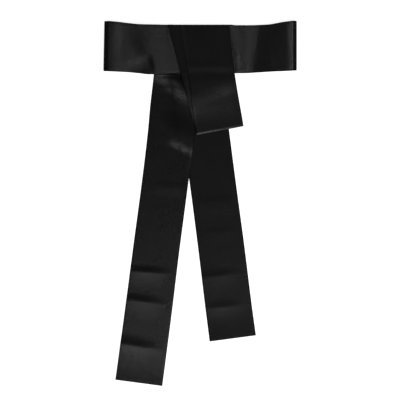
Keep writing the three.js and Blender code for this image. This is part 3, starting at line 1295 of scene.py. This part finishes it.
@dataclass
class Tail(SashPart):
    """One tail, from inside the waist loop to its closed end."""

    node: str = "tail"
    rows: tuple[TailRow, ...] = ()
    folds: tuple[Lift, ...] = ()
    curls: tuple[Curl, ...] = ()
    width: float = 80.0
    lift: float = 1.3
    descent_from: float = 44.5
    descent_to: float = 67.0
    fine_from: float = 38.0
    fine_to: float = 56.0
    fine_step: float = 0.8
    lead_from: float = 16.0
    lead_to: float = 3.0
    hem: Hem = Hem(1.0, 26.0)
    handled: float = 0.0
    probe: float = 1.0
    under: Optional["Tail"] = None

    @property
    def lanes(self) -> Array:
        """Places across the tail."""
        return self.cloth.lanes(self.width)

    def underside(self, x: Array, y: Array) -> Array:
        """Height of the tail's underside, without its folds.

        Args:
            x: Places along the waist.
            y: Places from the tails to the waist.

        Returns:
            The height above the table.
        """
        left = 1.0 - smooth((-y - self.descent_from) / (self.descent_to - self.descent_from))
        height = self.lift * left
        if self.under is not None:
            middle, width = Track(self.under.rows).read(-y)
            outside = middle - width / 2.0 - x
            over = 1.0 - smooth((outside - self.lead_to) / (self.lead_from - self.lead_to))
            height = height + self.lift * over
        return height

    def surface(self) -> Surface:
        """Lay the tail from inside the waist loop to its closed end.

        Returns:
            Its middle surface, outer side up.
        """
        first = self.rows[0].drop
        end = self.rows[-1].drop
        line = Track(self.rows)
        drop = first + self.cloth.lanes(end - first)
        near = np.arange(self.fine_from, self.fine_to, self.fine_step)
        drop = np.sort(np.concatenate([drop[(drop < self.fine_from) | (drop >= self.fine_to)], near]))
        at = np.clip(drop, first + self.probe, end - self.probe)
        sideways = line.read(at + self.probe)[0] - line.read(at - self.probe)[0]
        lean = np.arctan2(sideways, 2.0 * self.probe)[:, None]
        middle, width = (column[:, None] for column in line.read(drop))
        out = (self.lanes / self.width - 0.5)[None, :] * width
        x = middle + out * np.cos(lean)
        y = -drop[:, None] + out * np.sin(lean)
        z = self.underside(x, y) + self.cloth.half + lifted(self.folds, x, y)
        along = drop[:, None] + 0.0 * out
        inside = width / 2.0 - out
        turn_up = np.square(np.clip(1.0 - (end - along) / self.hem.reach, 0.0, 1.0))
        z = z + self.hem.rise * turn_up + curled(self.curls, along, inside)
        rub = self.handled + rubbed(self.curls, along, inside)
        return Surface(np.stack([x, y, z], axis=2), self.lanes, rub)


class HemInput(Enum):
    """Named inputs of the stitching nodes."""

    PITCH = "Pitch"
    LENGTH = "Stitch Length"
    RADIUS = "Thread Radius"
    SEED = "Seed"


@dataclass
class HemStitching:
    """The row of stitches that closes a tail's end."""

    origin: Vector
    thread: bpy.types.Material
    inset: float = 2.4
    margin: float = 2.0
    pitch: float = 2.6
    length: float = 2.0
    radius: float = 0.13
    seed: int = 3
    smallest: float = 0.88
    largest: float = 1.06
    bead_segments: int = 10
    bead_rings: int = 6
    seat: float = 0.94

    def nodes(self) -> bpy.types.NodeTree:
        """Build the tree that lays stitches along an edge.

        Returns:
            A tree with the inputs named in HemInput.
        """
        tree = bpy.data.node_groups.new("hem_stitches", "GeometryNodeTree")
        tree.interface.new_socket("Geometry", in_out="INPUT", socket_type="NodeSocketGeometry")
        for name in (HemInput.PITCH, HemInput.LENGTH, HemInput.RADIUS):
            tree.interface.new_socket(name.value, in_out="INPUT", socket_type="NodeSocketFloat")
        tree.interface.new_socket(HemInput.SEED.value, in_out="INPUT", socket_type="NodeSocketInt")
        tree.interface.new_socket("Geometry", in_out="OUTPUT", socket_type="NodeSocketGeometry")
        add = NodeTree(tree).add
        given = add("NodeGroupInput").outputs
        curve = add("GeometryNodeMeshToCurve", None, {"Mesh": given["Geometry"]})
        spaced = add(
            "GeometryNodeResampleCurve", {"mode": "LENGTH"},
            {"Curve": curve.outputs["Curve"], "Length": given[HemInput.PITCH.value]},
        )
        size = add(
            "ShaderNodeCombineXYZ", None,
            {"X": given[HemInput.LENGTH.value], "Y": given[HemInput.RADIUS.value],
             "Z": given[HemInput.RADIUS.value]},
        )
        bead = add(
            "GeometryNodeMeshUVSphere", None,
            {"Segments": self.bead_segments, "Rings": self.bead_rings, "Radius": 1.0},
        )
        stitch = add(
            "GeometryNodeTransform", None,
            {"Geometry": bead.outputs["Mesh"], "Scale": size.outputs["Vector"]},
        )
        tangent = add("GeometryNodeInputTangent")
        turn = add(
            "FunctionNodeAlignRotationToVector", {"axis": "X"}, {"Vector": tangent.outputs["Tangent"]},
        )
        uneven = add(
            "FunctionNodeRandomValue", {"data_type": "FLOAT"},
            {2: self.smallest, 3: self.largest, "Seed": given[HemInput.SEED.value]},
        )
        row = add(
            "GeometryNodeInstanceOnPoints", None,
            {"Points": spaced.outputs["Curve"], "Instance": stitch.outputs["Geometry"],
             "Rotation": turn.outputs["Rotation"], "Scale": uneven.outputs[1]},
        )
        real = add("GeometryNodeRealizeInstances", None, {"Geometry": row.outputs["Instances"]})
        soft = add("GeometryNodeSetShadeSmooth", None, {"Geometry": real.outputs["Geometry"]})
        dressed = add(
            "GeometryNodeSetMaterial", None,
            {"Geometry": soft.outputs["Geometry"], "Material": self.thread},
        )
        add("NodeGroupOutput", None, {"Geometry": dressed.outputs["Geometry"]})
        return tree

    def line(self, surface: Surface, cloth: Cloth) -> Array:
        """Points of the seam on the upper side near a tail's end.

        Args:
            surface: The tail.
            cloth: What it is made of.

        Returns:
            Points across the tail, in millimetres.
        """
        along = surface.along
        station = int(np.argmin(np.abs(along[-1] - self.inset - along)))
        top = surface.middle[station] + surface.normals[station] * (cloth.half * self.seat)
        across = surface.across
        return top[(across > self.margin) & (across < across[-1] - self.margin)]

    def build(self, name: str, surface: Surface, cloth: Cloth) -> bpy.types.Object:
        """Make one row of stitches as a plain mesh.

        Args:
            name: Name of the piece.
            surface: The tail that it closes.
            cloth: What the tail is made of.

        Returns:
            The stitches, fixed to the frame.
        """
        points = self.line(surface, cloth) * MM + np.array(self.origin)
        mesh = bpy.data.meshes.new(name)
        mesh.from_pydata(points.tolist(), [(i, i + 1) for i in range(len(points) - 1)], [])
        piece = bpy.data.objects.new(name, mesh)
        bpy.context.scene.collection.objects.link(piece)
        modifier = piece.modifiers.new("stitches", "NODES")
        tree = self.nodes()
        modifier.node_group = tree
        values = {
            HemInput.PITCH.value: self.pitch * MM,
            HemInput.LENGTH.value: self.length / 2.0 * MM,
            HemInput.RADIUS.value: self.radius * MM,
            HemInput.SEED.value: self.seed,
        }
        for item in tree.interface.items_tree:
            if item.in_out == "INPUT" and item.name in values:
                modifier[item.identifier] = values[item.name]
        piece.update_tag()
        graph = bpy.context.evaluated_depsgraph_get()
        made = bpy.data.meshes.new_from_object(piece.evaluated_get(graph), depsgraph=graph)
        piece.modifiers.clear()
        piece.data = made
        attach(piece, BODY)
        LOG.info("%s: %d faces", name, len(made.polygons))
        return piece


@dataclass
class TailPair(SashPart):
    """The two tails, the left one over the right one where they cross."""

    thread: Optional[bpy.types.Material] = None
    left_rows: tuple[TailRow, ...] = (
        TailRow(-16.0, -33.6, 80.8),
        TailRow(52.0, -40.6, 80.8),
        TailRow(100.0, -46.0, 81.2),
        TailRow(145.0, -50.4, 80.6),
        TailRow(239.0, -61.9, 80.0),
        TailRow(343.0, -75.7, 80.2),
        TailRow(447.0, -88.9, 81.2),
        TailRow(577.2, -106.2, 82.0),
    )
    right_rows: tuple[TailRow, ...] = (
        TailRow(-12.0, -10.0, 80.0),
        TailRow(146.0, 10.3, 79.8),
        TailRow(239.0, 22.6, 79.4),
        TailRow(343.0, 36.3, 80.0),
        TailRow(447.0, 49.1, 80.4),
        TailRow(500.4, 56.2, 80.8),
    )
    left_folds: tuple[Fold, ...] = (
        Fold(-56.0, -44.2, 0.0, 30.0, 2.4, 3.2, 0.6),
        Fold(-62.0, -67.5, -3.0, 36.0, 13.0, 10.0, 0.3, 2.0),
        Fold(-33.0, -63.0, -42.0, 48.0, 12.0, 26.0, 2.6),
        Fold(-46.0, -137.0, -60.0, 36.0, 30.0, 20.0, 1.3),
        Fold(-29.0, -162.0, -26.0, 44.0, 48.0, 18.0, 1.8),
        Fold(-50.0, -239.0, -3.0, 44.0, 12.0, 18.0, 0.35),
        Fold(-97.0, -385.0, -4.0, 58.0, 11.0, 32.0, 1.4, 2.0),
        Fold(-106.0, -435.5, -8.0, 58.0, 13.0, 34.0, 1.35, 2.0),
        Fold(-122.0, -511.5, -10.0, 70.0, 19.0, 38.0, 2.2, 2.0),
    )
    right_folds: tuple[Fold, ...] = (
        Fold(27.0, -265.0, 6.0, 42.0, 14.0, 26.0, 0.3),
        Fold(34.0, -318.0, 6.0, 42.0, 12.0, 22.0, 0.25),
        Fold(30.0, -392.0, 7.0, 52.0, 14.0, 30.0, 0.74, 2.0),
        Fold(34.0, -446.0, 5.0, 50.0, 15.0, 26.0, 0.75, 2.0),
    )
    left_wave: Wave = Wave(
        line=(
            LineRow(-122.0, -6.0),
            LineRow(-100.0, -12.0),
            LineRow(-83.0, -20.0),
            LineRow(-72.0, -27.0),
            LineRow(-61.0, -37.0),
            LineRow(-54.0, -48.0),
            LineRow(-47.0, -64.0),
            LineRow(-42.0, -76.0),
        ),
        section=(
            HeightRow(-42.0, 0.0),
            HeightRow(-32.0, 0.05),
            HeightRow(-20.0, 0.27),
            HeightRow(-8.0, 0.58),
            HeightRow(0.0, 0.7),
            HeightRow(8.0, 0.58),
            HeightRow(20.0, 0.22),
            HeightRow(32.0, 0.0),
        ),
        fade=48.0,
    )
    left_curls: tuple[Curl, ...] = (
        Curl(186.0, 44.0, 4.0, -0.3, 0.9),
    )
    left_hem: Hem = Hem(1.1, 26.0)
    right_hem: Hem = Hem(1.5, 44.0)
    right_handled: float = 0.15

    def build(self) -> None:
        shared = {"origin": self.origin, "satin": self.satin, "cloth": self.cloth, "layers": self.layers}
        right = Tail(
            **shared, node="tail_right", rows=self.right_rows, folds=self.right_folds, hem=self.right_hem,
            handled=self.right_handled,
        )
        left = Tail(
            **shared, node="tail_left", rows=self.left_rows, folds=(*self.left_folds, self.left_wave),
            hem=self.left_hem, curls=self.left_curls, under=right,
        )
        for tail, below in ((right, ["waist_back"]), (left, ["waist_back", "tail_right"])):
            surface = tail.surface()
            piece = self.add(f"{tail.node}_satin", surface)
            stitching = HemStitching(self.origin, self.thread)
            hem = stitching.build(f"{tail.node}_hem_stitches", surface, self.cloth)
            self.declare(piece, tail.node, surface, Held.LAID, below, [hem])


@dataclass
class KnotCrossing(SashPart):
    """The layers hidden inside the knot: the strip folded to and fro under the loop."""

    x: float = -3.0
    y: float = -11.0
    width: float = 54.0
    depth: float = 40.0
    height: float = 2.3
    base_layer: int = 3
    folds: int = 3
    run_stations: int = 22
    bend_stations: int = 11
    cloth: Cloth = Cloth(thickness=0.6)

    def surface(self) -> Surface:
        """Fold the strip to and fro.

        Returns:
            Its middle surface, from the lowest layer to the top one.
        """
        thin = self.cloth.thickness
        pitch = (self.height - thin) / (self.folds - 1)
        radius = pitch / 2.0
        run = self.depth - 2.0 * radius - thin
        base = self.layers.underside(self.base_layer) + thin / 2.0
        path: list[tuple[float, float]] = []
        flat = np.linspace(-run / 2.0, run / 2.0, self.run_stations)
        bend = np.linspace(-math.pi / 2.0, math.pi / 2.0, self.bend_stations)[1:-1]
        for count in range(self.folds):
            sign = 1.0 if count % 2 == 0 else -1.0
            path.extend((sign * place, count * pitch) for place in flat)
            if count < self.folds - 1:
                out = run / 2.0 + radius * np.cos(bend)
                up = count * pitch + radius * (1.0 + np.sin(bend))
                path.extend(zip(sign * out, up))
        line = np.array(path)
        lanes = self.cloth.lanes(self.width)
        x = np.repeat((self.x + self.width / 2.0 - lanes)[None, :], len(line), axis=0)
        y = np.repeat(self.y + line[:, :1], len(lanes), axis=1)
        z = np.repeat(base + line[:, 1:], len(lanes), axis=1)
        return Surface(np.stack([x, y, z], axis=2), lanes)

    def build(self) -> None:
        surface = self.surface()
        piece = self.add("knot_crossing_satin", surface)
        self.declare(piece, "knot_crossing", surface, Held.FOLDED, ["tail_left", "tail_right"])


@dataclass(frozen=True)
class SoftBox:
    """A large soft lamp that faces the middle of the sash, in metres from there."""

    name: str
    x: float
    y: float
    z: float
    width: float
    depth: float
    radiance: float

    def build(self) -> None:
        """Add the lamp."""
        place = Vector((self.x, self.y, self.z))
        data = bpy.data.lights.new(self.name, "AREA")
        data.shape = "RECTANGLE"
        data.size = self.width
        data.size_y = self.depth
        data.energy = self.radiance * math.pi * self.width * self.depth
        lamp = bpy.data.objects.new(self.name, data)
        lamp.location = place
        lamp.rotation_mode = "QUATERNION"
        lamp.rotation_quaternion = place.to_track_quat("Z", "Y")
        bpy.context.scene.collection.objects.link(lamp)


@dataclass
class Studio:
    """The table, the lamps and the camera that looks straight down.

    The camera's place and the width of its frame are millimetres, like the sash. The table's size and
    drop, the camera's height and its clipping are metres.
    """

    origin: Vector
    table_size: float = 12.0
    table_drop: float = 0.0003
    camera_x: float = -0.52
    camera_y: float = -261.1
    camera_height: float = 12.0
    frame_width: float = 691.2
    sensor: float = 36.0
    nearest: float = 0.01
    farthest: float = 100.0
    world_grey: float = 0.036
    lamps: tuple[SoftBox, ...] = (
        SoftBox("key_softbox", 2.18, -3.78, 6.70, 2.4, 2.4, 12.2),
        SoftBox("near_softbox", 0.6, -0.45, 0.9, 0.4, 0.4, 4.6),
        SoftBox("back_softbox", 0.0, 4.5, 2.2, 8.0, 2.0, 0.65),
    )

    def table(self) -> None:
        """Add the table that the sash lies on."""
        half = self.table_size / 2.0
        corners = [(-half, -half), (half, -half), (half, half), (-half, half)]
        mesh = bpy.data.meshes.new("table")
        mesh.from_pydata([(x, y, -self.table_drop) for x, y in corners], [], [(0, 1, 2, 3)])
        mesh.materials.append(TableFinish().build())
        table = bpy.data.objects.new("table", mesh)
        table.visible_glossy = False
        bpy.context.scene.collection.objects.link(table)

    def camera(self) -> None:
        """Add the camera."""
        data = bpy.data.cameras.new("camera")
        data.sensor_width = self.sensor
        data.lens = self.sensor * self.camera_height / (self.frame_width * MM)
        data.clip_start = self.nearest
        data.clip_end = self.farthest
        camera = bpy.data.objects.new("camera", data)
        camera.location = (
            self.origin.x + self.camera_x * MM,
            self.origin.y + self.camera_y * MM,
            self.camera_height,
        )
        bpy.context.scene.collection.objects.link(camera)
        bpy.context.scene.camera = camera

    def build(self) -> None:
        """Set up the table, the light and the camera."""
        scene = bpy.context.scene
        scene.view_settings.view_transform = "Standard"
        world = bpy.data.worlds.new("studio")
        world.use_nodes = True
        grey = (self.world_grey, self.world_grey, self.world_grey, 1.0)
        world.node_tree.nodes["Background"].inputs["Color"].default_value = grey
        scene.world = world
        self.table()
        for lamp in self.lamps:
            lamp.build()
        self.camera()
        LOG.info("studio: %d lamps", len(self.lamps))


def tie_origin(crossing_x: float, crossing_y: float) -> Vector:
    """The tie's centre on the table, from the solid inside the knot.

    Args:
        crossing_x: Place of that solid's middle from the tie's centre, in millimetres.
        crossing_y: The same along y.

    Returns:
        The tie's centre in the frame, in metres.
    """
    low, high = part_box("knot_crossing")
    middle = (low + high) / 2.0
    return Vector((middle.x - crossing_x * MM, middle.y - crossing_y * MM, 0.0))


def main() -> None:
    """Build the sash and its studio."""
    logging.basicConfig(level=logging.INFO, format="%(name)s: %(message)s")
    origin = tie_origin(KnotCrossing.x, KnotCrossing.y)
    satin = SatinFinish().build()
    thread = ThreadFinish().build()
    waist = WaistLoop(origin, satin)
    waist.build()
    KnotCrossing(origin, satin).build()
    TailPair(origin, satin, thread=thread).build()
    DropLoop(origin, satin, waist=waist).build()
    Studio(origin).build()


if __name__ == "__main__":
    main()
